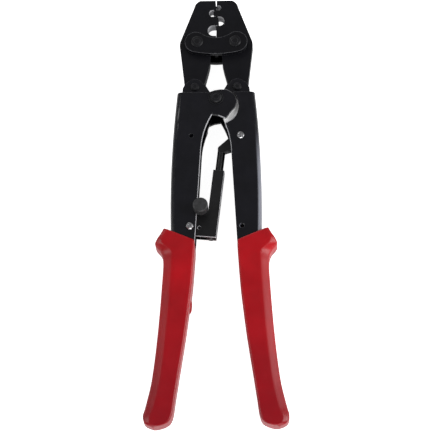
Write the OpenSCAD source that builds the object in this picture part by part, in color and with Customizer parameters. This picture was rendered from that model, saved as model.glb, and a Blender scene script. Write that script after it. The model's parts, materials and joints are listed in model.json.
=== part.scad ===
// Long-handled ratchet crimping tool for bare cable lugs, drawn lying on its back.
// Origin: on the central pivot's axis, on the plane that the tool rests on.
// +X to the right-hand handle, +Y to the jaws, +Z up, away from the resting plane.

/* [Head] */
// Thickness of each jaw
jaw_t = 11; // [9:0.5:13]
// Thickness of each link plate
plate_t = 4.5; // [3:0.5:5]
// Half the distance between the two jaw pivots
jaw_pivot_x = 16.7; // [15:0.1:18]
// Height of the jaw pivots above the central pivot
jaw_pivot_y = 54.6; // [52:0.1:57]
// Height of the jaw tips above the central pivot
jaw_top_y = 96.2; // [90:0.1:100]
// Half the head's width at its widest
jaw_half_w = 32.2; // [30:0.1:34]
// Half the head's width along its top edge, before the corners turn
jaw_half_top = 14; // [13:0.1:16]
// Angle that each jaw stands away from closed
jaw_ajar = 0.63; // [0.3:0.01:1]
// Radius of the rounded end of each jaw's tail
tail_r = 8.2; // [7.5:0.1:9]
// How much lower the belly of the rear link plate hangs than the front one's
rear_belly = 2.0; // [0:0.1:5]

/* [Nests] */
// Centre and radius of the nests in the right jaw, small one first
right_nests = [[2.2, 89.2, 2.2], [2.8, 76.2, 4.5]]; // radius 2 to 5.5 mm
// Centre and radius of the nests in the left jaw, small one first
left_nests = [[-3.2, 83.8, 3.2], [-2.4, 67.1, 5.1]]; // radius 2 to 5.5 mm
// How far each right nest's indenter reaches over the middle line
right_indents = [1.1, 2]; // [0:0.1:2.5]
// How far each left nest's indenter reaches over the middle line
left_indents = [2.3, 0.1]; // [0:0.1:2.5]
// Gap above and below an indenter
indent_gap = 0.7; // [0.5:0.05:1]

/* [Pins and rivets] */
// Radius of the two jaw pins
jaw_pin_r = 3; // [2.5:0.1:3.5]
// Radius of the jaw pins' flat heads
jaw_head_r = 5.1; // [4:0.1:6]
// Radius of the two tail pins
tail_pin_r = 2.6; // [2:0.1:3]
// Radius of the central pivot bolt
pivot_r = 4; // [3:0.1:4.2]
// Radius of the two silver rivets
rivet_r = 2; // [1.5:0.1:2.4]
// Radius of the spare rivet holes in both handles
spare_hole_r = 2.05; // [1.5:0.05:2.5]
// Radial clearance of a hole that a pin turns in
running_gap = 0.05; // [0.02:0.01:0.1]
// Radial clearance of a hole that a pin is fixed in
fixed_gap = 0.02; // [0.01:0.01:0.05]
// Sideways play of the right jaw's hole round its pin
jaw_slot = 0.5; // [0.45:0.05:0.8]

/* [Handles] */
// Thickness of the handles' steel sheet
sheet_t = 3; // [2.5:0.1:3]
// Outside radius of the bend between flange and web
bend_r = 4.2; // [3.5:0.1:5]
// Half the distance between the two tail pins
tail_x = 18.5; // [18:0.1:19]
// Height of the tail pins above the central pivot
tail_y = 11.6; // [11:0.1:12]
// Top outer corner of a handle
shoulder = [33.9, 5.6]; // [0:0.1:40]
// Outer edge of a handle where its straight tang begins
heel = [38.3, -140]; // [-150:0.1:45]
// How far the outer edge bulges between those two points
handle_sag = 2.7; // [1:0.1:3]
// Top of the arch on a handle's inner edge
arch_top = [3.3, -14.9]; // [-20:0.1:10]
// Foot of the arch
arch_foot = [13.2, -49]; // [-60:0.1:20]
// Inner edge where the tang begins
heel_in = [18.6, -140]; // [-150:0.1:25]
// Lower end of the tang, outer side
tang_out = [52, -275]; // [-280:0.5:55]
// Lower end of the tang, inner side
tang_in = [39, -275]; // [-280:0.5:45]
// Centre of the nose of the lobe that laps over the other handle
lobe_c = [7.6, -3.5]; // [-10:0.1:10]
// Radius of that nose
lobe_r = 10.2; // [9:0.1:11]
// Centre of the round recess that the lobe turns in
recess_c = [2, -7]; // [-10:0.1:5]
// Radius of that recess
recess_r = 17.9; // [17:0.1:18.5]

/* [Grips] */
// Depth of a grip from front to back
grip_depth = 28; // [26:0.5:28]
// Top corner of a grip on its outer side
grip_top_out = [44.8, -120.6]; // [-130:0.1:50]
// Top corner of a grip on its inner side
grip_top_in = [18.4, -131.5]; // [-140:0.1:25]
// Lower end of a grip's outer side
grip_end_out = [61, -286]; // [-295:0.1:65]
// Lower end of a grip's inner side
grip_end_in = [36.8, -284]; // [-295:0.1:45]
// Lowest point of a grip
grip_bottom_y = -294.8; // [-298:0.1:-290]
// Centre of the guard bulge on a grip's outer side
guard_c = [43, -134.2]; // [-140:0.1:50]
// Radius of that bulge
guard_r = 9.1; // [8:0.1:9.3]

/* [Ratchet] */
// Rivet that the rod hangs on, in the right handle
rod_pivot = [21.4, -35.4]; // [-40:0.1:25]
// Rivet that the housing hangs on, in the left handle
housing_pivot = [-22.4, -118.5]; // [-125:0.1:-15]
// Corner of the rod
elbow = [4.6, -44.9]; // [-50:0.1:10]
// Angle between the rod and the tool's middle line
rod_lean = 6.7; // [6:0.1:7.5]
// Radius of the rod
rod_r = 3.4; // [3:0.1:3.4]
// Length of the rod below its corner
rod_len = 83; // [80:0.5:84]
// Distance between the rod's teeth
tooth_pitch = 2.5; // [2:0.1:3]
// Depth of the rod's teeth
tooth_d = 0.8; // [0.5:0.05:0.9]
// Width of the housing round the rod
housing_w = 9.6; // [8.7:0.1:10]
// Depth of the housing from front to back
housing_depth = 9; // [8.8:0.1:10]
// Thickness of the housing's sheet
housing_t = 0.8; // [0.6:0.1:0.8]
// Radius of the release knob
knob_r = 6.45; // [5:0.05:7]
// Height of the release knob
knob_h = 10; // [8:0.5:12]

/* [Hidden] */
$fn = 96;
steel_black = [0.12, 0.12, 0.14];
steel_bright = [0.75, 0.75, 0.78];
grip_red = [0.72, 0.06, 0.13];

slack = 0.05;                                // gap between flat faces that slide
mid = grip_depth / 2;                        // height of the tool's middle plane
inner_z = mid + jaw_t / 2 + slack;           // under face of the front ears
outer_z = inner_z + sheet_t + slack;         // under face of the front flanges
front_z = outer_z + sheet_t;                 // front face of the handles
handle_depth = 2 * (front_z - mid);
plate_z = mid + jaw_t / 2 + 2 * slack;       // under face of the front link plate
plate_front = plate_z + plate_t;
washer_t = 0.7;
jaw_pivot = [jaw_pivot_x, jaw_pivot_y];
tail_pivot = [tail_x, tail_y];
flange_inner = outer_z - mid;                // half the gap between a handle's flanges
through = 60;                                // longer than any hole

// Points of the arc from a to b that bulges by sag to the left of that direction.
function arc(a, b, sag, n = 12) =
    let (c = norm(b - a), r = (c * c / 4 + sag * sag) / (2 * abs(sag)),
         side = sign(sag), dir = (b - a) / c, nrm = [-dir[1], dir[0]],
         centre = (a + b) / 2 + nrm * (sag - side * r), half = asin(min(1, c / 2 / r)))
    [for (i = [0:n]) let (t = -half + 2 * half * i / n)
        centre + dir * (r * sin(t)) + nrm * (side * r * cos(t))];

// The same part turned over to the other side of the tool, about the middle line.
module flipped() { translate([0, 0, mid]) rotate([0, 180, 0]) translate([0, 0, -mid]) children(); }

// The same part on the other side of the middle plane.
module mirrored_in_depth() { translate([0, 0, 2 * mid]) mirror([0, 0, 1]) children(); }

module slab(z, h) { translate([0, 0, z]) linear_extrude(h) children(); }

module hole(p, r) { translate([p[0], p[1], mid - through / 2]) cylinder(r = r, h = through); }

// Round head with a bevelled rim and one ring groove, standing on z = 0.
module rivet_head(r, h) {
    difference() {
        union() {
            cylinder(r = r, h = h * 0.5);
            translate([0, 0, h * 0.5]) cylinder(r1 = r, r2 = r * 0.82, h = h * 0.5);
        }
        translate([0, 0, h - 0.35]) difference() {
            cylinder(r = r * 0.62, h = 1);
            translate([0, 0, -1]) cylinder(r = r * 0.48, h = 3);
        }
    }
}

// Pin at p from z0 to z1, with a head on each end.
module headed_pin(p, r, z0, z1, head_r, head_h) {
    translate([p[0], p[1], 0]) {
        translate([0, 0, z0]) cylinder(r = r, h = z1 - z0);
        translate([0, 0, z1]) rivet_head(head_r, head_h);
        translate([0, 0, z0]) mirror([0, 0, 1]) rivet_head(head_r, head_h);
    }
}

// ---- Jaws -------------------------------------------------------------------------------

// Distance of a jaw's face from the middle line at height y.
function face_x(y) = slack + (y - jaw_pivot_y) * tan(jaw_ajar);

module jaw_outline() {
    face_end = 60;
    polygon(concat(
        [[face_x(face_end), face_end], [face_x(jaw_top_y), jaw_top_y]],
        arc([jaw_half_top, jaw_top_y], [19.4, 89.6], 1.2, 8),
        arc([31, 58.4], [jaw_half_w, 52.4], 0.35, 6),
        [[27.5, tail_y], [tail_x, tail_y - 2], [10.9, tail_y + 1.5],
         [6.6, 30], [5.4, 36], [5.2, 42], [4.9, 47], [4.5, 51]]));
}

// Round pocket that opens to the middle line, drawn for the right jaw.
module pocket(n) {
    hole(n, n[2]);
    translate([-1, n[1] - n[2], 0]) cube([n[0] + 1, 2 * n[2], through]);
}

// Indenter that enters the other jaw's nest n, reaching over the middle line.
module indenter(n, reach) {
    half = n[2] - indent_gap;
    nose = min(0.8, half / 2);
    translate([0, n[1]]) polygon([
        [2, -half], [nose - reach, -half], [-reach, nose - half],
        [-reach, half - nose], [nose - reach, half], [2, half]]);
}

module jaw(own, other, reach, pin_slot) {
    difference() {
        union() {
            slab(mid - jaw_t / 2, jaw_t) jaw_outline();
            slab(mid - jaw_t / 2, jaw_t) translate(tail_pivot) circle(tail_r);
            for (i = [0:1]) if (reach[i] > 0.5)
                slab(mid - jaw_t / 2, jaw_t) indenter(other[i], reach[i]);
        }
        for (n = own) pocket(n);
        hole(tail_pivot, tail_pin_r + running_gap);
        for (s = [-1, 1]) hole(jaw_pivot + [s * pin_slot, 0], jaw_pin_r + running_gap);
        if (pin_slot > 0)
            slab(0, through) translate(jaw_pivot - [pin_slot, jaw_pin_r + running_gap])
                square([2 * pin_slot, 2 * (jaw_pin_r + running_gap)]);
    }
}

function mirrored(nests) = [for (n = nests) [-n[0], n[1], n[2]]];

module right_jaw() {
    color(steel_black) jaw(right_nests, mirrored(left_nests), left_indents, jaw_slot);
}

module left_jaw() {
    color(steel_black) mirror([1, 0, 0])
        jaw(mirrored(left_nests), right_nests, right_indents, 0);
}

// ---- Link plates, their pins and spacer --------------------------------------------------

plate_end = [18, 54.4];
plate_end_r = 9.5;
waist_y = 58.2;
belly_y = 42.8;

// Peanut outline: two round ends, a hollow on top and a shallow belly below.
module plate_outline(drop) {
    // circle that touches both ends from above and makes the hollow
    over = waist_y - plate_end_r;
    hollow_y = (over * over - plate_end[1] * plate_end[1] - plate_end[0] * plate_end[0])
        / (2 * (over - plate_end[1]));
    hollow_r = hollow_y - waist_y;
    hollow_dir = (plate_end - [0, hollow_y]) / norm(plate_end - [0, hollow_y]);
    hollow_pt = [0, hollow_y] + hollow_dir * hollow_r;
    // circle that holds both ends and makes the belly
    low = belly_y - drop;
    under = low + plate_end_r;
    belly_c = (plate_end[1] * plate_end[1] + plate_end[0] * plate_end[0] - under * under)
        / (2 * (plate_end[1] - under));
    belly_dir = (plate_end - [0, belly_c]) / norm(plate_end - [0, belly_c]);
    belly_pt = [0, belly_c] + belly_dir * (belly_c - low);
    for (s = [-1, 1]) translate([s * plate_end[0], plate_end[1]]) circle(plate_end_r);
    difference() {
        intersection() {
            translate([0, belly_c]) circle(belly_c - low, $fn = 360);
            polygon([[-belly_pt[0], low - 1], [belly_pt[0], low - 1], belly_pt, plate_end, hollow_pt,
                     [-hollow_pt[0], hollow_pt[1]], [-plate_end[0], plate_end[1]],
                     [-belly_pt[0], belly_pt[1]]]);
        }
        translate([0, hollow_y]) circle(hollow_r, $fn = 180);
    }
}

spacer_y = 47.2;
tenon_r = 1.5;
tenon_h = 2;

// Link plate in its front position, with the blind hole for the spacer's tenon.
module link_plate(drop) {
    difference() {
        slab(plate_z, plate_t) plate_outline(drop);
        for (s = [-1, 1])
            hole([s * jaw_pivot_x, jaw_pivot_y], jaw_pin_r + fixed_gap);
        translate([0, spacer_y, plate_z - 1])
            cylinder(r = tenon_r + fixed_gap, h = tenon_h + slack + 1);
    }
}

module front_link_plate() { color(steel_black) link_plate(0); }

module rear_link_plate() { color(steel_black) flipped() link_plate(rear_belly); }

module link_spacer() {
    color(steel_black) translate([0, spacer_y, mid]) {
        translate([0, 0, -jaw_t / 2]) cylinder(r = 3.2, h = jaw_t);
        translate([0, 0, -jaw_t / 2 - tenon_h]) cylinder(r = tenon_r, h = jaw_t + 2 * tenon_h);
    }
}

module jaw_pin(side) {
    headed_pin([side * jaw_pivot_x, jaw_pivot_y], jaw_pin_r,
               2 * mid - plate_front - slack, plate_front + slack, jaw_head_r, 0.9);
}

module left_jaw_pin() { color(steel_black) jaw_pin(-1); }

module right_jaw_pin() { color(steel_black) jaw_pin(1); }

module tail_pin(side) {
    ear_front = inner_z + sheet_t + slack;
    headed_pin([side * tail_x, tail_y], tail_pin_r, 2 * mid - ear_front, ear_front, 3.7, 1.7);
}

module left_tail_pin() { color(steel_black) tail_pin(-1); }

module right_tail_pin() { color(steel_black) tail_pin(1); }

// ---- Handles ------------------------------------------------------------------------------

// Bar along -x from x = 0, with its two corners at x = 0 rounded.
module round_bar(len, depth, r) {
    translate([-len, -depth / 2]) square([len - r, depth]);
    translate([-r - 1, r - depth / 2]) square([r + 1, depth - 2 * r]);
    for (s = [-1, 1]) translate([-r, s * (depth / 2 - r)]) circle(r);
}

lobe_rise = 9;                               // how far the sheet runs on above the shoulder

// Bent channel that follows the handle's curved outer edge from shoulder to heel.
module bent_channel() {
    chord = shoulder - heel;
    c = norm(chord);
    r = (c * c / 4 + handle_sag * handle_sag) / (2 * handle_sag);
    out = [chord[1], -chord[0]] / c;
    centre = (shoulder + heel) / 2 + out * (handle_sag - r);
    from = atan2(heel[1] - 2 - centre[1], heel[0] - centre[0]);
    to = atan2(shoulder[1] + lobe_rise - centre[1], shoulder[0] - centre[0]);
    translate([centre[0], centre[1], mid]) rotate([0, 0, from])
        rotate_extrude(angle = to - from, $fn = 1440) translate([r, 0]) difference() {
            round_bar(60, handle_depth, bend_r);
            translate([-sheet_t, 0]) round_bar(60, 2 * flange_inner, bend_r - sheet_t);
        }
}

// Outline of the flange, up to the step below the ears.
module flange_outline() {
    polygon(concat(
        [heel_in - [0, 1], heel + [3, -1], [shoulder[0] + 8, shoulder[1]], [7.4, 5.4], [2, -2]],
        arc(arch_top, arch_foot, 2.2, 10)));
}

// Tall block that bounds the lobe which laps over the other handle: a round nose and its root.
module lobe_bounds() {
    translate([-lobe_c[0], lobe_c[1], mid]) cylinder(r = lobe_r, h = through);
    slab(mid, through)
        polygon([[-8.6, -19], [-14.1, -11.3], [-14, 4.4], [-11.4, 6.4], [-8.4, 7.6], [-4, 7.9],
                 [0.9, 7.2], [6, 5.4], [9.8, 2.8], [10, -4], [7, -14.6], [4.2, -15.2], [-2.1, -16.2]]);
}

// Step between an ear and the flange, just below the flange's top edge.
step_at = [9.4, 2.6];
step_size = [20.8, 3];

// Ear that carries the tail pin, on the inner level.
module ear() {
    slab(inner_z, sheet_t) translate(tail_pivot) circle(7.6);
    slab(inner_z, sheet_t)
        polygon([[30.2, step_at[1]], [29.6, 6], [29.2, 10.6], [27, 15], [22.5, 18], tail_pivot,
                 [9.8, 14.2], [5.2, 6.4], [8.6, 4.4], step_at]);
}

// Region of the recessed flange on the inner level, round the pivot and below the step.
module recess_outline() {
    intersection() {
        translate(recess_c) circle(recess_r + sheet_t);
        polygon([[0, 6.3], [7, 6.6], [9, 10], [20, 3.4], [24, -5], [22, -24], [9.6, -29.2],
                 [7.2, -21], [3.6, -13], [4, -4.5]]);
    }
}

// Front half of a handle's head: the flange whose ear and recess lie one sheet deeper.
module recessed_half() {
    ear();
    slab(inner_z, sheet_t) circle(6.3);
    slab(inner_z, sheet_t) recess_outline();
    // the steps between the two levels
    intersection() {
        slab(inner_z, outer_z - inner_z + 1) difference() {
            union() {
                translate(recess_c) circle(recess_r + sheet_t);
                translate(step_at) square(step_size);
            }
            translate(recess_c) circle(recess_r);
        }
        slab(inner_z, through) flange_outline();
    }
}

// The other half of the head: an ear, and the step that joins it to the lapping flange.
module lapping_half() {
    ear();
    slab(inner_z, outer_z - inner_z + 1) translate(step_at) square(step_size);
}

// Straight tang inside the grip, below the bent channel and pressed a little thinner than it.
module tang() {
    tang_t = sheet_t - 0.3;
    depth = handle_depth - 0.4;
    for (z = [mid - depth / 2, mid + depth / 2 - tang_t])
        slab(z, tang_t) polygon([heel_in, heel, tang_out, tang_in]);
    slab(mid - depth / 2, depth)
        polygon([heel, tang_out, tang_out - [sheet_t, 0], heel - [sheet_t, 0]]);
}

module handle() {
    difference() {
        union() {
            difference() {
                intersection() {
                    bent_channel();
                    union() {
                        slab(0, through) flange_outline();
                        mirrored_in_depth() lobe_bounds();
                    }
                }
                // opening in the front flange that the other handle's lobe turns in
                slab(outer_z - slack, through) translate(recess_c) circle(recess_r);
            }
            recessed_half();
            mirrored_in_depth() lapping_half();
            tang();
        }
        hole([0, 0], pivot_r + running_gap);
        hole(tail_pivot, tail_pin_r + fixed_gap);
        hole(rod_pivot, spare_hole_r);
        hole([-housing_pivot[0], housing_pivot[1]], spare_hole_r);
    }
}

module right_handle() { color(steel_black) handle(); }

module left_handle() { color(steel_black) flipped() handle(); }

// ---- Central pivot --------------------------------------------------------------------------

nut_t = 2 * mid - front_z - slack;
bolt_end = 0.8;

module pivot_bolt() {
    color(steel_black) {
        translate([0, 0, bolt_end]) cylinder(r = pivot_r, h = front_z + washer_t + 2 * slack - bolt_end);
        translate([0, 0, front_z + washer_t + 2 * slack]) rivet_head(5, 2);
    }
}

module pivot_washer() {
    color(steel_black) translate([0, 0, front_z + slack]) difference() {
        cylinder(r = 6.4, h = washer_t);
        translate([0, 0, -1]) cylinder(r = pivot_r + fixed_gap, h = washer_t + 2);
    }
}

module pivot_nut() {
    color(steel_black) difference() {
        cylinder(r = 6.4, h = nut_t);
        translate([0, 0, bolt_end - fixed_gap]) cylinder(r = pivot_r + fixed_gap, h = nut_t);
    }
}

module pivot_sleeve() {
    color(steel_black) translate([0, 0, mid - jaw_t / 2]) difference() {
        cylinder(r = 7, h = jaw_t);
        translate([0, 0, -1]) cylinder(r = pivot_r + fixed_gap, h = jaw_t + 2);
    }
}

// ---- Grips ------------------------------------------------------------------------------------

// Outer and inner edge of a grip between its guard and its foot, t from 0 to 1.
function grip_out(t) = [44.9 + 6 * t + (grip_end_out[0] - 50.9) * t * t * t,
                        -152 + (grip_end_out[1] + 152) * t];
function grip_in(t) = [grip_top_in[0] + 12.5 * t + (grip_end_in[0] - grip_top_in[0] - 12.5) * t * t * t,
                       grip_top_in[1] + (grip_end_in[1] - grip_top_in[1]) * t];

module grip_outline() {
    steps = 8;
    polygon(concat(
        [grip_top_in, grip_top_out, [47.6, -144]],
        [for (i = [0:steps]) grip_out(i / steps)],
        [[60, -291.5], [57, grip_bottom_y], [50.5, grip_bottom_y], [42.5, -290.5]],
        [for (i = [steps:-1:1]) grip_in(i / steps)]));
}

// Room inside a grip for the handle, a hair wider than the handle itself.
module grip_cavity() {
    e = 0.3;
    slab(mid - handle_depth / 2 - slack, handle_depth + 2 * slack)
        polygon([[16.4, -110], [39.6, -110], heel + [e, 0], tang_out + [e, -e], tang_in - [e, e],
                 heel_in - [e, 0]]);
}

module grip() {
    difference() {
        union() {
            slab(0, grip_depth) grip_outline();
            slab(0, grip_depth) translate(guard_c) circle(guard_r);
        }
        grip_cavity();
    }
}

module right_grip() { color(grip_red) grip(); }

module left_grip() { color(grip_red) flipped() grip(); }

// ---- Ratchet ------------------------------------------------------------------------------------
// The rod and its housing are drawn in the rod's own frame: origin at its corner, +y up the rod.

function in_rod_frame(p) =
    let (d = p - elbow, up = [sin(rod_lean), cos(rod_lean)], side = [cos(rod_lean), -sin(rod_lean)])
    [d * side, d * up];

module rod_frame() { translate([elbow[0], elbow[1], mid]) rotate([0, 0, -rod_lean]) children(); }

eye_r = 7.5;
eye_play = 2;                                 // half the length that the hole is stretched by
eye_hole_r = 3.45;

module ratchet_rod() {
    eye = in_rod_frame(rod_pivot);
    reach = norm(eye);
    lean = atan2(eye[1], eye[0]);
    side_y = sqrt(reach * reach - pow(eye_r - rod_r, 2)) / reach;
    color(steel_black) rod_frame() difference() {
        union() {
            rotate([90, 0, 0]) cylinder(r = rod_r, h = rod_len - 1);
            translate([0, 1 - rod_len, 0]) rotate([90, 0, 0])
                cylinder(r1 = rod_r, r2 = rod_r - 0.8, h = 1);
            sphere(r = rod_r);
            // flat forged arm with the eye
            translate([0, 0, -rod_r]) linear_extrude(2 * rod_r) {
                circle(rod_r);
                translate(eye) circle(eye_r);
                rotate(lean) polygon([
                    [0, rod_r], [0, -rod_r],
                    [reach - (eye_r - rod_r) / reach * eye_r, -eye_r * side_y],
                    [reach - (eye_r - rod_r) / reach * eye_r, eye_r * side_y]]);
            }
        }
        // long hole round the rivet
        for (s = [-1, 1]) translate([eye[0] + s * eye_play, eye[1], -through / 2])
            cylinder(r = eye_hole_r, h = through);
        translate([eye[0] - eye_play, eye[1] - eye_hole_r, -through / 2])
            cube([2 * eye_play, 2 * eye_hole_r, through]);
        // teeth on the side that faces the pawl
        for (y = [-rod_len + 3 : tooth_pitch : -36])
            translate([-rod_r, y, -through / 2]) linear_extrude(through)
                polygon([[-1, 0], [tooth_d, 0.2], [tooth_d, 0.5], [-1, tooth_pitch - 0.4]]);
    }
}

module rod_rivet() {
    color(steel_bright)
        headed_pin(rod_pivot, rivet_r, 2 * mid - front_z - slack, front_z + slack, 3.15, 1.4);
}

module tube_pair(p, z, top) {
    for (s = [0, 1]) translate([p[0], p[1], s == 0 ? z : 2 * mid - top]) difference() {
        cylinder(r = rivet_r + 1.6, h = top - z);
        translate([0, 0, -1]) cylinder(r = rivet_r + fixed_gap, h = top - z + 2);
    }
}

module rod_spacers() {
    color(steel_bright) tube_pair(rod_pivot, mid + rod_r + 0.15, outer_z - slack);
}

module housing_rivet() {
    color(steel_bright)
        headed_pin(housing_pivot, rivet_r, 2 * mid - front_z - slack, front_z + slack, 3.15, 1.4);
}

module housing_spacers() {
    color(steel_bright) tube_pair(housing_pivot, mid + housing_depth / 2 + slack, outer_z - slack);
}

housing_top = -20.2;
housing_foot = -82.4;
flare_y = -57;
pawl_pivot = [-10.5, -74.5];
knob_at = [-10.7, -59.5];
spring_at = [-18.6, -66.5];
release_room = 1.25;

module housing_outline() {
    w = housing_w / 2;
    h = in_rod_frame(housing_pivot);
    translate(h) circle(6);
    polygon([[-w, housing_top], [w, housing_top], [w, housing_foot + 0.7],
             [-13, housing_foot + 0.2], [h[0], h[1] - 6], [h[0] - 4.2, h[1]], [-19.4, -70],
             [-19.4, -62], [-14.5, flare_y - 2], [-w, flare_y]]);
}

module ratchet_housing() {
    w = housing_w / 2;
    d = housing_depth / 2;
    color(steel_black) rod_frame() difference() {
        union() {
            for (z = [-d, d - housing_t]) translate([0, 0, z]) linear_extrude(housing_t)
                housing_outline();
            // folded sides: right edge, left edge of the neck, and the spring's seat
            translate([w - housing_t, housing_foot + 0.7, -d])
                cube([housing_t, housing_top - housing_foot - 0.7, housing_depth]);
            translate([-w, flare_y, -d]) cube([housing_t, housing_top - flare_y, housing_depth]);
            translate([-19.4, -70, -d]) cube([housing_t, 8, housing_depth]);
        }
        // slot that the knob's screw moves in
        translate([0, 0, d - 2 * housing_t]) linear_extrude(through) {
            translate(knob_at + [0.2, 0]) circle(2);
            translate(knob_at - [release_room, 0]) circle(2);
            translate(knob_at - [release_room, 2]) square([release_room + 0.2, 4]);
        }
        translate([pawl_pivot[0], pawl_pivot[1], -through / 2])
            cylinder(r = 1.5 + fixed_gap, h = through);
        translate(concat(in_rod_frame(housing_pivot), [-through / 2]))
            cylinder(r = rivet_r + running_gap, h = through);
    }
}

pawl_t = 6.8;

module ratchet_pawl() {
    side = -rod_r - 0.1;
    color(steel_black) rod_frame() translate([0, 0, -pawl_t / 2]) difference() {
        union() {
            translate(concat(pawl_pivot, [0])) cylinder(r = 4, h = pawl_t);
            translate(concat(knob_at, [0])) cylinder(r = 3.4, h = pawl_t);
            linear_extrude(pawl_t)
                polygon([[-14.4, -73.8], [-14, -60], [-10.7, -56.6], [-6.5, -56.6], [side - 0.8, -57.6],
                         [side - 0.8, -66.5], [-6.8, -74]]);
            for (i = [0:3]) translate([side, -58.2 - i * tooth_pitch, 0]) linear_extrude(pawl_t)
                polygon([[-1, 0.2], [0, -1.4], [-1, -1.9]]);
        }
        translate([pawl_pivot[0], pawl_pivot[1], -1]) cylinder(r = 1.5 + running_gap, h = pawl_t + 2);
        translate([knob_at[0], knob_at[1], 1]) cylinder(r = 1.6 + fixed_gap, h = pawl_t);
    }
}

module pawl_pin() {
    color(steel_black) rod_frame() translate(concat(pawl_pivot, [-housing_depth / 2]))
        cylinder(r = 1.5, h = housing_depth);
}

// Round wire wound along x between the seat and the pawl.
module pawl_spring() {
    turns = 4;
    steps = 20;
    coil_r = 2;
    wire_r = 0.3;
    ring = 8;
    length = 3.6;
    count = turns * steps;
    points = [for (i = [0:count], k = [0:ring - 1])
        let (a = 360 * i / steps, b = 360 * k / ring, rr = coil_r + wire_r * cos(b))
        [length * i / count + wire_r * sin(b), rr * cos(a), rr * sin(a)]];
    walls = [for (i = [0:count - 1], k = [0:ring - 1])
        let (k2 = (k + 1) % ring)
        [i * ring + k, (i + 1) * ring + k, (i + 1) * ring + k2, i * ring + k2]];
    ends = [[for (k = [0:ring - 1]) k], [for (k = [ring - 1:-1:0]) count * ring + k]];
    color(steel_bright) rod_frame() translate([spring_at[0] + wire_r + 0.05, spring_at[1], 0])
        polyhedron(points, concat(walls, ends), convexity = 8);
}

knob_z = front_z + 0.6;
thread_top = knob_z + knob_h - 3;

module knob_screw() {
    bottom = mid - pawl_t / 2 + 1 + slack;
    color(steel_bright) rod_frame() translate([knob_at[0], knob_at[1], bottom - mid])
        cylinder(r = 1.6, h = thread_top - bottom);
}

module release_knob() {
    color(steel_black) rod_frame() translate([knob_at[0], knob_at[1], knob_z - mid]) difference() {
        union() {
            cylinder(r1 = knob_r - 0.6, r2 = knob_r, h = 0.6);
            translate([0, 0, 0.6]) cylinder(r = knob_r, h = knob_h - 1.4);
            translate([0, 0, knob_h - 0.8]) cylinder(r1 = knob_r, r2 = knob_r - 0.8, h = 0.8);
        }
        translate([0, 0, -1]) cylinder(r = 1.6 + fixed_gap, h = thread_top - knob_z + 1 + slack);
    }
}

left_handle();
right_handle();
left_grip();
right_grip();
left_jaw();
right_jaw();
front_link_plate();
rear_link_plate();
left_jaw_pin();
right_jaw_pin();
link_spacer();
left_tail_pin();
right_tail_pin();
pivot_bolt();
pivot_nut();
pivot_sleeve();
pivot_washer();
ratchet_rod();
rod_rivet();
rod_spacers();
ratchet_housing();
housing_rivet();
housing_spacers();
ratchet_pawl();
pawl_pin();
pawl_spring();
release_knob();
knob_screw();
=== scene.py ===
"""Long-handled ratchet crimping tool: materials, sleeves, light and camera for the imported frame."""

import json
import math

import bmesh
import bpy
from mathutils import Matrix, Vector


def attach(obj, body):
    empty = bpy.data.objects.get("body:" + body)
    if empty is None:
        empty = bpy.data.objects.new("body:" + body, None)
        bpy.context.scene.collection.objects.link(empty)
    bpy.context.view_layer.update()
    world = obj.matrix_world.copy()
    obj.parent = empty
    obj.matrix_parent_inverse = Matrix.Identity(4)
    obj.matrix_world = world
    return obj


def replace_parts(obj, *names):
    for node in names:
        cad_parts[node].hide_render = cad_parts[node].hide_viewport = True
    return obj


MM = 0.001

# ---- Grips: sizes in millimetres, drawn for the right-hand side -------------------------

GRIP_DEPTH = 28.0
# Outer edge from the guard's top corner to the foot, as (y, x)
GRIP_OUTER = [
    (-121, 44.8), (-125.5, 47.3), (-130, 50.4), (-133.5, 52.1), (-136, 51.2), (-140, 47.8),
    (-144.5, 45.8), (-150, 45.0), (-158, 45.1), (-169, 45.8), (-190, 47.2), (-211.5, 48.9),
    (-232.6, 51.0), (-248.3, 52.9), (-258.7, 54.5), (-269, 56.8), (-279.4, 59.4),
    (-284.5, 60.8), (-289.7, 60.1), (-293, 57.5), (-294.8, 53.0),
]
# Inner edge from the mouth to the foot
GRIP_INNER = [
    (-131.5, 18.3), (-137, 18.2), (-147, 18.8), (-169, 20.4), (-190, 22.7), (-211.5, 25.3),
    (-232.6, 28.4), (-248, 30.8), (-259, 32.4), (-269, 33.9), (-279.4, 35.3), (-284.5, 36.3),
    (-288.5, 37.7), (-291.3, 39.9), (-293.3, 43.3), (-294.4, 47.6), (-294.8, 52.0),
]
MOUTH_IN, MOUTH_OUT = -131.5, -120.3
MOUTH_RUN = -149.0           # height where the sloping sections have become level
FOOT = -294.8
EDGE_R = 1.8                 # rounding of the front face's inner edge
BAND_W = 7.4                 # width of the rolled band along the front's outer edge
BAND_FALL = 0.6              # drop of that band for each millimetre of its width
BAND_BEND = 1.5              # how flat that band is between its two creases
BACK_R = 9.0                 # rounding of the back's two edges
BACK_R_MOUTH = 1.2           # rounding of the back's inner edge where the handle enters
FOOT_R = 16.0                # how far up the back rounds off at the foot
GUARD_WIDER = 2.5            # extra width of the band under the guard
GUARD_CRISP = 7.2            # width the band loses above the guard's tip
FOOT_BAND = 0.55             # share of the band's width that is left at the foot
MOUTH_ROUND = [(0.0, 0.9), (0.25, 0.3)]    # the mouth's rim, as (how far down, how far in)
MOUTH_START = 0.9            # where the full section begins below the mouth
MOUTH_STEPS, RUN_STEPS, FOOT_STEPS = 26, 40, 14
# Lump of flash on the left sleeve's inner wall: centre and half sizes
FLASH_AT, FLASH_SIZE = (-22.9, -184.5, 9.0), (2.1, 7.5, 4.0)

# ---- Places that the materials mark, in millimetres -------------------------------------

RECESS_C, RECESS_R = (2.0, -7.0), 17.9    # round recess in the right handle's front flange
# Centre and radius of the four nests between the jaws
NESTS = [(2.2, 89.2, 2.2), (-3.2, 83.8, 3.2), (2.8, 76.2, 4.5), (-2.4, 67.1, 5.1)]

# ---- Shapes -----------------------------------------------------------------------------


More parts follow.
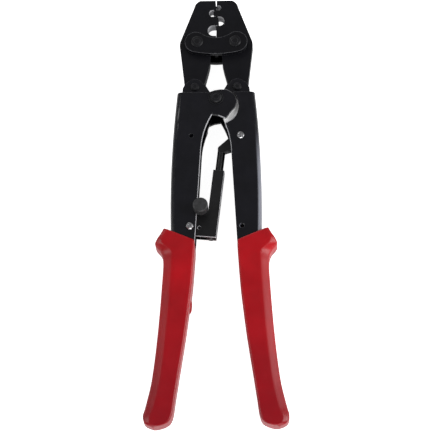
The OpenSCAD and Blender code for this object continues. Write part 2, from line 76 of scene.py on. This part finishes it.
def curve(points, y):
    """Smooth value at height y of a curve through points, which run downwards."""
    if y >= points[0][0]:
        return points[0][1]
    for i in range(len(points) - 1):
        (y0, x0), (y1, x1) = points[i], points[i + 1]
        if y >= y1:
            t = (y - y0) / (y1 - y0)
            ya, xa = points[i - 1] if i else points[i]
            yb, xb = points[i + 2] if i + 2 < len(points) else points[i + 1]
            m0 = (x1 - xa) / (y1 - ya) * (y1 - y0)
            m1 = (xb - x0) / (yb - y0) * (y1 - y0)
            a, b = 2 * t**3 - 3 * t**2 + 1, t**3 - 2 * t**2 + t
            return a * x0 + b * m0 + (3 * t**2 - 2 * t**3) * x1 + (t**3 - t**2) * m1
    return points[-1][1]


def smooth(a, b, x):
    """0 below a, 1 above b, and an even blend between."""
    t = min(1.0, max(0.0, (x - a) / (b - a)))
    return t * t * (3 - 2 * t)


def corner(cx, cz, rx, rz, start, end, n, bend=1.0):
    """Corner round (cx, cz), from start to end in degrees: bend 1 is round, 2 a flat bevel."""
    out = []
    for i in range(n + 1):
        a = math.radians(start + (end - start) * i / n)
        c, s = math.cos(a), math.sin(a)
        out.append((cx + rx * math.copysign(abs(c) ** bend, c), cz + rz * math.copysign(abs(s) ** bend, s)))
    return out


def section(x_in, x_out, z_back, z_front, band, edge, back, back_in):
    """Loop of (x, z) points round a grip's cross-section, from the inner front corner."""
    w, h = x_out - x_in, z_front - z_back
    edge_x, edge_z = min(edge, w * 0.2), min(edge, h * 0.3)
    band_x, band_z = min(band, w * 0.45), min(band * BAND_FALL, h * 0.4)
    back_x, back_z = min(back, w * 0.48), min(back * 1.1, h * 0.5)
    in_x, in_z = min(back_in, w * 0.48), min(back_in * 1.1, h * 0.5)
    pts = corner(x_in + edge_x, z_front - edge_z, edge_x, edge_z, 180, 90, 5)
    a, b = x_in + edge_x, x_out - band_x
    pts += [(a + (b - a) * i / 6, z_front) for i in range(1, 6)]
    pts += corner(x_out - band_x, z_front - band_z, band_x, band_z, 90, 0, 9, BAND_BEND)
    a, b = z_front - band_z, z_back + back_z
    pts += [(x_out, a + (b - a) * i / 4) for i in range(1, 4)]
    pts += corner(x_out - back_x, z_back + back_z, back_x, back_z, 0, -90, 8)
    a, b = x_out - back_x, x_in + in_x
    pts += [(a + (b - a) * i / 4, z_back) for i in range(1, 4)]
    pts += corner(x_in + in_x, z_back + in_z, in_x, in_z, -90, -180, 8)
    a, b = z_back + in_z, z_front - edge_z
    pts += [(x_in, a + (b - a) * i / 4) for i in range(1, 4)]
    return pts


def mesh_piece(name, verts, faces):
    mesh = bpy.data.meshes.new(name)
    mesh.from_pydata([Vector(v) * MM for v in verts], [], faces)
    mesh.validate()
    bm = bmesh.new()
    bm.from_mesh(mesh)
    bmesh.ops.recalc_face_normals(bm, faces=bm.faces)
    bm.to_mesh(mesh)
    bm.free()
    piece = bpy.data.objects.new(name, mesh)
    bpy.context.scene.collection.objects.link(piece)
    return piece


def loft(name, rings):
    """Closed skin through rings with the same number of points, capped at both ends."""
    verts = [p for ring in rings for p in ring]
    n = len(rings[0])
    faces = [
        (k * n + i, k * n + (i + 1) % n, (k + 1) * n + (i + 1) % n, (k + 1) * n + i)
        for k in range(len(rings) - 1)
        for i in range(n)
    ]
    faces.append(tuple(reversed(range(n))))
    faces.append(tuple(range((len(rings) - 1) * n, len(rings) * n)))
    return mesh_piece(name, verts, faces)


def grip_ring(y_in, y_out, inset=0.0):
    """One ring of the sleeve's outside; its inner and outer ends may lie at two heights."""
    x_in, x_out = curve(GRIP_INNER, y_in), curve(GRIP_OUTER, y_out)
    y_mid = (y_in + y_out) / 2
    to_foot = max(0.0, y_mid - FOOT)
    lift = 0.0
    if to_foot < FOOT_R:
        lift = FOOT_R * (1 - math.sqrt(max(0.0, 1 - (1 - to_foot / FOOT_R) ** 2)))
    drop = 0.0
    if to_foot < EDGE_R:
        drop = EDGE_R * (1 - math.sqrt(max(0.0, 1 - (1 - to_foot / EDGE_R) ** 2)))
    # the band widens under the guard and narrows to a crisp edge above its tip
    band = BAND_W + GUARD_WIDER * smooth(-150, -139, y_out) - GUARD_CRISP * smooth(-138, -127, y_out)
    band *= FOOT_BAND + (1 - FOOT_BAND) * smooth(FOOT, FOOT + FOOT_R, y_mid)
    ring = section(x_in + inset, x_out - inset, lift + inset, GRIP_DEPTH - drop - inset,
                   band, EDGE_R, BACK_R,
                   BACK_R - (BACK_R - BACK_R_MOUTH) * smooth(-205, -165, y_in))
    return [
        (x, y_in + (y_out - y_in) * (x - x_in) / (x_out - x_in), z) for x, z in ring
    ]


def grip_rings():
    """Rings of the whole sleeve, from the rim of its mouth to its foot."""
    rings = [grip_ring(MOUTH_IN - down, MOUTH_OUT - down, inset) for down, inset in MOUTH_ROUND]
    for k in range(MOUTH_STEPS + 1):
        t = k / MOUTH_STEPS
        rings.append(grip_ring(
            MOUTH_IN - MOUTH_START + (MOUTH_RUN - MOUTH_IN + MOUTH_START) * t,
            MOUTH_OUT - MOUTH_START + (MOUTH_RUN - MOUTH_OUT + MOUTH_START) * t,
        ))
    low = FOOT + FOOT_R
    for k in range(1, RUN_STEPS + 1):
        y = MOUTH_RUN + (low - MOUTH_RUN) * k / RUN_STEPS
        rings.append(grip_ring(y, y))
    for k in range(1, FOOT_STEPS):
        y = FOOT + FOOT_R * (1 - math.sin(math.radians(90 * k / FOOT_STEPS)))
        rings.append(grip_ring(y, y))
    return rings


def lump_rings(centre, half, turns=20, levels=10):
    """Rings of a long rounded lump that lies along y."""
    rings = []
    for k in range(levels + 1):
        along = math.pi * (0.03 + 0.94 * k / levels)
        rings.append([
            (
                centre[0] + half[0] * math.sin(along) * math.cos(math.tau * i / turns),
                centre[1] + half[1] * math.cos(along),
                centre[2] + half[2] * math.sin(along) * math.sin(math.tau * i / turns),
            )
            for i in range(turns)
        ])
    return rings


# ---- Materials ------------------------------------------------------------------------------

def srgb(r, g, b):
    def one(v):
        v /= 255
        return v / 12.92 if v <= 0.04045 else ((v + 0.055) / 1.055) ** 2.4
    return (one(r), one(g), one(b), 1.0)


class Nodes:
    """Short helper round a material's node tree."""

    def __init__(self, name):
        self.mat = bpy.data.materials.new(name)
        self.mat.use_nodes = True
        self.tree = self.mat.node_tree
        self.bsdf = self.tree.nodes["Principled BSDF"]

    def add(self, kind, **values):
        node = self.tree.nodes.new(kind)
        for key, value in values.items():
            if hasattr(node, key):
                setattr(node, key, value)
            else:
                node.inputs[key.replace("_", " ")].default_value = value
        return node

    def join(self, a, b):
        self.tree.links.new(a, b)

    def coords(self):
        return self.add("ShaderNodeTexCoord").outputs["Object"]

    def noise(self, scale, detail=4.0, rough=0.55):
        node = self.add("ShaderNodeTexNoise", Scale=scale, Detail=detail, Roughness=rough)
        self.join(self.coords(), node.inputs["Vector"])
        return node.outputs["Fac"]

    def ramp(self, fac, stops):
        node = self.add("ShaderNodeValToRGB")
        ramp = node.color_ramp
        while len(ramp.elements) < len(stops):
            ramp.elements.new(0.5)
        for element, (place, colour) in zip(ramp.elements, stops):
            element.position = place
            element.color = colour if len(colour) == 4 else (*colour, 1.0)
        self.join(fac, node.inputs["Fac"])
        return node.outputs["Color"]

    def span(self, fac, low, high):
        node = self.add("ShaderNodeMapRange")
        node.inputs["To Min"].default_value = low
        node.inputs["To Max"].default_value = high
        self.join(fac, node.inputs["Value"])
        return node.outputs["Result"]

    def math(self, operation, a, b=0.0):
        node = self.add("ShaderNodeMath", operation=operation)
        for value, socket in ((a, 0), (b, 1)):
            if isinstance(value, (int, float)):
                node.inputs[socket].default_value = value
            else:
                self.join(value, node.inputs[socket])
        return node.outputs[0]

    def step(self, value, start, end):
        """0 before start, 1 after end, smooth between; start may be the larger."""
        node = self.add("ShaderNodeMapRange", interpolation_type="SMOOTHSTEP")
        node.inputs["From Min"].default_value = start
        node.inputs["From Max"].default_value = end
        self.join(value, node.inputs["Value"])
        return node.outputs["Result"]

    def both(self, *masks):
        out = masks[0]
        for mask in masks[1:]:
            out = self.math("MULTIPLY", out, mask)
        return out

    def split(self, vector):
        node = self.add("ShaderNodeSeparateXYZ")
        self.join(vector, node.inputs[0])
        return node.outputs

    def mix(self, fac, a, b):
        node = self.add("ShaderNodeMix", data_type="RGBA")
        for value, socket in ((fac, 0), (a, 6), (b, 7)):
            if isinstance(value, (int, float, tuple)):
                node.inputs[socket].default_value = value
            else:
                self.join(value, node.inputs[socket])
        return node.outputs[2]

    def bump(self, height, strength, distance, normal=None):
        node = self.add("ShaderNodeBump", Strength=strength, Distance=distance)
        self.join(height, node.inputs["Height"])
        if normal:
            self.join(normal, node.inputs["Normal"])
        return node.outputs["Normal"]

    def soft_edges(self, radius):
        return self.add("ShaderNodeBevel", Radius=radius, samples=6).outputs["Normal"]

    def edge_mask(self, radius, sharp):
        """1 near an outer or inner edge of the solid, 0 on its flat faces."""
        geometry = self.add("ShaderNodeNewGeometry")
        dot = self.add("ShaderNodeVectorMath", operation="DOT_PRODUCT")
        self.join(self.soft_edges(radius), dot.inputs[0])
        self.join(geometry.outputs["Normal"], dot.inputs[1])
        node = self.add("ShaderNodeMapRange")
        node.inputs["From Min"].default_value = 1.0
        node.inputs["From Max"].default_value = sharp
        self.join(dot.outputs["Value"], node.inputs["Value"])
        return node.outputs["Result"]


def distance(n, x, y, centre):
    """Distance from an upright axis, in metres."""
    dx, dy = n.math("SUBTRACT", x, centre[0] * MM), n.math("SUBTRACT", y, centre[1] * MM)
    return n.math("SQRT", n.math("ADD", n.both(dx, dx), n.both(dy, dy))), dx, dy


def crescent_wear_and_highlight(n):
    """Ring rubbed bare by the lobe on the recessed flange, fading towards its top; painted pure white,
    partly as the bare metal and partly as a painted highlight.
    """
    x, y, z = n.split(n.coords())
    radius, dx, dy = distance(n, x, y, RECESS_C)
    streaks = n.add("ShaderNodeTexNoise", Scale=1.0, Detail=3.0)
    turn = n.add("ShaderNodeCombineXYZ")
    n.join(n.math("MULTIPLY", radius, 3500.0), turn.inputs[0])
    n.join(n.math("MULTIPLY", n.math("ARCTAN2", dy, dx), 2.0), turn.inputs[1])
    n.join(turn.outputs[0], streaks.inputs["Vector"])
    ring = n.both(
        n.step(radius, 11.5 * MM, 12.2 * MM),
        n.step(radius, RECESS_R * MM, (RECESS_R - 0.5) * MM),
    )
    place = n.both(
        n.step(x, 5 * MM, 8 * MM),
        n.step(z, 21.6 * MM, 22.1 * MM),
        n.step(z, 23.2 * MM, 22.8 * MM),
    )
    fade = n.math("ADD", n.math("MULTIPLY", n.step(y, 4 * MM, -3 * MM), 0.95), 0.15)
    return n.both(ring, place, fade, n.span(streaks.outputs["Fac"], 0.85, 1.35))


def painted_fold_highlights(n):
    """Painted highlight on the right- and down-facing edges along the right side and the foot of the
    ratchet's housing.
    """
    x, y, z = n.split(n.coords())
    lean = n.split(n.soft_edges(0.8 * MM))
    side = n.math("MAXIMUM", n.step(lean[0], 0.1, 0.4), n.step(lean[1], -0.15, -0.45))
    return n.both(side, n.step(z, 17 * MM, 17.6 * MM))


def outer_bend(n):
    """Light catching the polished bend down the right handle's outer side."""
    x, y, z = n.split(n.coords())
    lean = n.split(n.soft_edges(1.3 * MM))[0]
    return n.both(n.step(lean, 0.12, 0.5), n.step(x, 15 * MM, 18 * MM), n.step(z, 14 * MM, 17 * MM),
                  n.step(y, -25 * MM, -70 * MM))


def painted_inner_edge_highlight(n):
    """Painted highlight along the sheet's cut edge on the inner side of both handles, seen from the front.
    """
    x, y, z = n.split(n.coords())
    inward = n.math("MULTIPLY", n.split(n.soft_edges(1.1 * MM))[0], n.math("SIGN", x))
    reach = n.math("MAXIMUM", n.step(x, 0.0, -1 * MM), n.step(y, -54 * MM, -48 * MM))
    return n.both(n.step(inward, -0.15, -0.45), reach, n.step(y, -13 * MM, -16 * MM),
                  n.step(z, 23 * MM, 24 * MM), n.step(n.math("ABSOLUTE", x), 19.3 * MM, 19 * MM))


def black_steel(name, face, edge_wear_and_highlight, rough, grain, edge=0.35, shine=0.5, marks=()):
    """Blackened steel: cloudy black, a fine grain, lighter edges that are partly rubbed wear and partly a
    painted highlight, and any (mask, colour) marks.
    """
    n = Nodes(name)
    cloud = n.noise(55.0, 5.0)
    dark, light = tuple(c * 0.75 for c in face[:3]), tuple(c * 1.3 for c in face[:3])
    base = n.ramp(cloud, [(0.3, dark), (0.72, light)])
    # lighter speckled edges: partly rubbed wear, partly a painted edge highlight
    edge_speckle = n.noise(900.0, 3.0, 0.7)
    worn_and_highlit = n.math("MULTIPLY", n.edge_mask(edge * MM, 0.86), n.span(edge_speckle, -0.25, 1.3))
    limit = n.add("ShaderNodeMath", operation="MULTIPLY", use_clamp=True)
    n.join(worn_and_highlit, limit.inputs[0])
    limit.inputs[1].default_value = edge_wear_and_highlight
    colour = n.mix(limit.outputs[0], base, srgb(170, 170, 176))
    for mask, shade in marks:
        colour = n.mix(mask(n), colour, shade)
    n.join(colour, n.bsdf.inputs["Base Color"])
    n.join(n.span(n.noise(210.0, 4.0), rough - 0.07, rough + 0.1), n.bsdf.inputs["Roughness"])
    n.join(n.bump(n.noise(grain, 3.0), 0.25, 0.05 * MM, n.soft_edges(0.3 * MM)), n.bsdf.inputs["Normal"])
    n.bsdf.inputs["Specular IOR Level"].default_value = shine
    return n.mat


def nest_walls(n):
    """1 on the round walls of the four nests."""
    x, y, z = n.split(n.coords())
    walls = None
    for cx, cy, r in NESTS:
        radius = distance(n, x, y, (cx, cy))[0]
        wall = n.both(
            n.step(radius, (r - 0.4) * MM, (r - 0.2) * MM),
            n.step(radius, (r + 0.4) * MM, (r + 0.2) * MM),
        )
        walls = wall if walls is None else n.math("MAXIMUM", walls, wall)
    return walls


def forged_black(name):
    """Darker forging with faint grinding marks across the jaws."""
    n = Nodes(name)
    stretch = n.add("ShaderNodeMapping")
    stretch.inputs["Scale"].default_value = (180.0, 1500.0, 400.0)
    stretch.inputs["Rotation"].default_value = (0.0, 0.0, math.radians(14))
    n.join(n.coords(), stretch.inputs["Vector"])
    marks = n.add("ShaderNodeTexNoise", Scale=1.0, Detail=4.0, Roughness=0.6)
    n.join(stretch.outputs["Vector"], marks.inputs["Vector"])
    base = n.ramp(n.noise(70.0), [(0.3, srgb(5, 5, 10)), (0.75, srgb(13, 13, 19))])
    # lighter speckled edges: partly rubbed wear, partly a painted edge highlight
    worn_and_highlit = n.add("ShaderNodeMath", operation="MULTIPLY", use_clamp=True)
    n.join(n.edge_mask(0.35 * MM, 0.86), worn_and_highlit.inputs[0])
    n.join(n.span(n.noise(700.0), -0.1, 0.55), worn_and_highlit.inputs[1])
    normal_z = n.split(n.add("ShaderNodeNewGeometry").outputs["Normal"])[2]
    upright = n.step(n.math("ABSOLUTE", normal_z), 0.6, 0.4)
    nests = n.both(nest_walls(n), upright)
    colour = n.mix(worn_and_highlit.outputs[0], base, srgb(120, 120, 124))
    n.join(n.mix(nests, colour, srgb(212, 212, 216)), n.bsdf.inputs["Base Color"])
    n.join(n.span(marks.outputs["Fac"], 0.32, 0.55), n.bsdf.inputs["Roughness"])
    n.join(n.bump(marks.outputs["Fac"], 0.3, 0.04 * MM, n.soft_edges(0.3 * MM)), n.bsdf.inputs["Normal"])
    n.bsdf.inputs["Specular IOR Level"].default_value = 0.22
    return n.mat


def bright_steel(name, rough=0.24):
    """Turned zinc-plated steel with rings of fine tool marks."""
    n = Nodes(name)
    n.bsdf.inputs["Metallic"].default_value = 1.0
    n.join(n.ramp(n.noise(600.0), [(0.35, srgb(165, 165, 168)), (0.7, srgb(226, 226, 228))]),
           n.bsdf.inputs["Base Color"])
    n.join(n.span(n.noise(1500.0), rough - 0.08, rough + 0.16), n.bsdf.inputs["Roughness"])
    n.join(n.bump(n.noise(2500.0), 0.3, 0.03 * MM, n.soft_edges(0.25 * MM)), n.bsdf.inputs["Normal"])
    return n.mat


def red_sleeve(name):
    """Dipped red vinyl: glossy, slightly uneven, with a fine orange peel."""
    n = Nodes(name)
    patch = n.ramp(n.noise(26.0, 4.0), [(0.3, srgb(152, 0, 12)), (0.7, srgb(180, 2, 18))])
    y = n.split(n.coords())[1]
    # darker towards the foot
    handled = n.math("MULTIPLY", n.step(y, -150 * MM, -290 * MM), 0.55)
    n.join(n.mix(handled, patch, srgb(118, 0, 18)), n.bsdf.inputs["Base Color"])
    n.join(n.span(n.noise(120.0, 5.0), 0.3, 0.46), n.bsdf.inputs["Roughness"])
    peel = n.bump(n.noise(1400.0, 2.0), 0.22, 0.05 * MM)
    n.join(n.bump(n.noise(60.0, 2.0), 0.2, 0.35 * MM, peel), n.bsdf.inputs["Normal"])
    n.bsdf.inputs["Coat Weight"].default_value = 0.12
    n.bsdf.inputs["Coat Roughness"].default_value = 0.22
    n.bsdf.inputs["Specular IOR Level"].default_value = 0.35
    n.bsdf.inputs["Subsurface Weight"].default_value = 0.08
    n.bsdf.inputs["Subsurface Radius"].default_value = (0.004, 0.0008, 0.0006)
    return n.mat


def black_plastic(name):
    n = Nodes(name)
    n.join(n.ramp(n.noise(300.0), [(0.3, srgb(30, 30, 31)), (0.7, srgb(48, 48, 50))]),
           n.bsdf.inputs["Base Color"])
    n.join(n.span(n.noise(900.0), 0.42, 0.62), n.bsdf.inputs["Roughness"])
    n.join(n.bump(n.noise(2200.0, 2.0), 0.35, 0.05 * MM, n.soft_edges(0.3 * MM)), n.bsdf.inputs["Normal"])
    return n.mat


FLOOR_SEEN, FLOOR_BOUNCE = 0.92, 0.3    # glow of the floor as the camera sees it, and as the tool does


def pale_floor(name):
    n = Nodes(name)
    shade = n.ramp(n.noise(3.0, 2.0), [(0.3, (0.93, 0.93, 0.93)), (0.7, (0.96, 0.96, 0.96))])
    n.join(shade, n.bsdf.inputs["Base Color"])
    n.bsdf.inputs["Roughness"].default_value = 0.9
    n.bsdf.inputs["Specular IOR Level"].default_value = 0.1
    n.bsdf.inputs["Emission Color"].default_value = (1.0, 1.0, 1.0, 1.0)
    seen = n.add("ShaderNodeLightPath").outputs["Is Camera Ray"]
    n.join(n.span(seen, FLOOR_BOUNCE, FLOOR_SEEN), n.bsdf.inputs["Emission Strength"])
    return n.mat


# ---- Build ------------------------------------------------------------------------------------

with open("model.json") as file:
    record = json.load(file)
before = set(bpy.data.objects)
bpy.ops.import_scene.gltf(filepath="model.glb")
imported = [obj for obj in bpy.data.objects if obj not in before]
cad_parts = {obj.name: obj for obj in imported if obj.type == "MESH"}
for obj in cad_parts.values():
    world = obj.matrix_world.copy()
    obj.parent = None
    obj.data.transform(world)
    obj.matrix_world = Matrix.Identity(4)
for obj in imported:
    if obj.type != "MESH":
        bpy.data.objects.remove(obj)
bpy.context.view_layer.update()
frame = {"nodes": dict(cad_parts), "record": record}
nodes = frame["nodes"]

handle_black = black_steel(
    "handle_black", srgb(14, 14, 20), 0.45, 0.22, 1100.0,
    # the near-white inner-edge mark is a painted highlight
    marks=((outer_bend, srgb(122, 124, 134)), (painted_inner_edge_highlight, srgb(215, 215, 220)),
           # pure white crescent: rubbed bare metal pushed up to a painted highlight
           (crescent_wear_and_highlight, srgb(255, 255, 255))),
)
plate_black = black_steel("plate_black", srgb(7, 7, 12), 0.85, 0.4, 1500.0, edge=0.55, shine=0.22)
pin_black = black_steel("pin_black", srgb(9, 9, 14), 0.26, 0.4, 1800.0, shine=0.3)
rod_black = black_steel("rod_black", srgb(13, 13, 15), 0.6, 0.36, 1300.0)
housing_black = black_steel(
    # the near-white mark is a painted highlight on the housing's edges
    "housing_black", srgb(13, 13, 15), 0.6, 0.38, 1300.0, marks=((painted_fold_highlights, srgb(235, 235, 240)),)
)
jaw_black = forged_black("jaw_black")
rivet_bright = bright_steel("rivet_bright")
knob_black = black_plastic("knob_black")
grip_red = red_sleeve("grip_red")

LOOKS = {
    "black_sheet": handle_black, "black_jaw": jaw_black, "black_plate": plate_black,
    "black_pin": pin_black, "black_rod": rod_black, "bright_rivet": rivet_bright,
    "black_housing": housing_black, "spring_steel": rivet_bright, "black_knob": knob_black,
    "red_grip": grip_red,
}
for part in frame["record"]["subparts"]:
    mesh = nodes[part["node"]].data
    mesh.materials.clear()
    mesh.materials.append(LOOKS[part["material_slot"]])


def red_piece(name, rings, body):
    """Smooth red piece that rides on a body."""
    piece = loft(name, rings)
    for face in piece.data.polygons:
        face.use_smooth = True
    piece.data.materials.append(grip_red)
    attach(piece, body)
    return piece


sleeve_rings = grip_rings()
for side, node, body in ((1, "right_grip", "right_handle"), (-1, "left_grip", "left_handle")):
    mirrored = [[(side * x, y, z) for x, y, z in ring] for ring in sleeve_rings]
    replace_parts(red_piece(node + "_sleeve", mirrored, body), node)
red_piece("left_grip_flash", lump_rings(FLASH_AT, FLASH_SIZE), "left_handle")

# ---- Floor, light and camera --------------------------------------------------------------------

FLOOR_GAP = 0.0005           # the floor lies this far under the tool, so their faces don't meet
WORLD_GLOW = 0.18

bpy.ops.mesh.primitive_plane_add(size=8.0, location=(0, -0.1, -FLOOR_GAP))
floor = bpy.context.object
floor.name = "floor"
floor.data.materials.append(pale_floor("pale_floor"))


LIT_AT = Vector((0.0, -0.1, 0.0))    # every light faces the tool's middle


def panel(name, place, width, height, power):
    light = bpy.data.lights.new(name, "AREA")
    light.shape = "RECTANGLE"
    light.size, light.size_y = width, height
    light.energy = power
    lamp = bpy.data.objects.new(name, light)
    lamp.location = place
    lamp.rotation_mode = "QUATERNION"
    lamp.rotation_quaternion = (LIT_AT - Vector(place)).to_track_quat("-Z", "Y")
    bpy.context.scene.collection.objects.link(lamp)


panel("right_panel", (1.5, -0.1, 0.9), 1.0, 1.6, 27)
panel("front_panel", (0.2, -1.8, 0.45), 1.8, 0.7, 18)
panel("left_panel", (-1.5, -0.1, 1.1), 0.8, 1.4, 10)
panel("head_panel", (-0.5, 1.1, 0.8), 1.0, 0.6, 5)

world = bpy.data.worlds.new("world")
bpy.context.scene.world = world
world.use_nodes = True
world.node_tree.nodes["Background"].inputs["Color"].default_value = (1, 1, 1, 1)
world.node_tree.nodes["Background"].inputs["Strength"].default_value = WORLD_GLOW

TILT, SWING = math.radians(20), math.radians(2)
DISTANCE = 1.9
TARGET = Vector((-0.4, -105.5, 14)) * MM
camera = bpy.data.cameras.new("camera")
camera.sensor_width = 36
camera.lens = 184
eye = bpy.data.objects.new("camera", camera)
bpy.context.scene.collection.objects.link(eye)
back = Vector((math.sin(SWING), -math.sin(TILT), math.cos(TILT) * math.cos(SWING))).normalized()
eye.location = TARGET + back * DISTANCE
eye.rotation_mode = "QUATERNION"
up = (Vector((0, 1, 0)) - back * back.y).normalized()    # the tool's head points up the picture
axes = Matrix((up.cross(back), up, back)).transposed()
eye.rotation_quaternion = axes.to_quaternion()
camera.clip_start, camera.clip_end = 0.1, 20
bpy.context.scene.camera = eye
bpy.context.scene.view_settings.view_transform = "Standard"
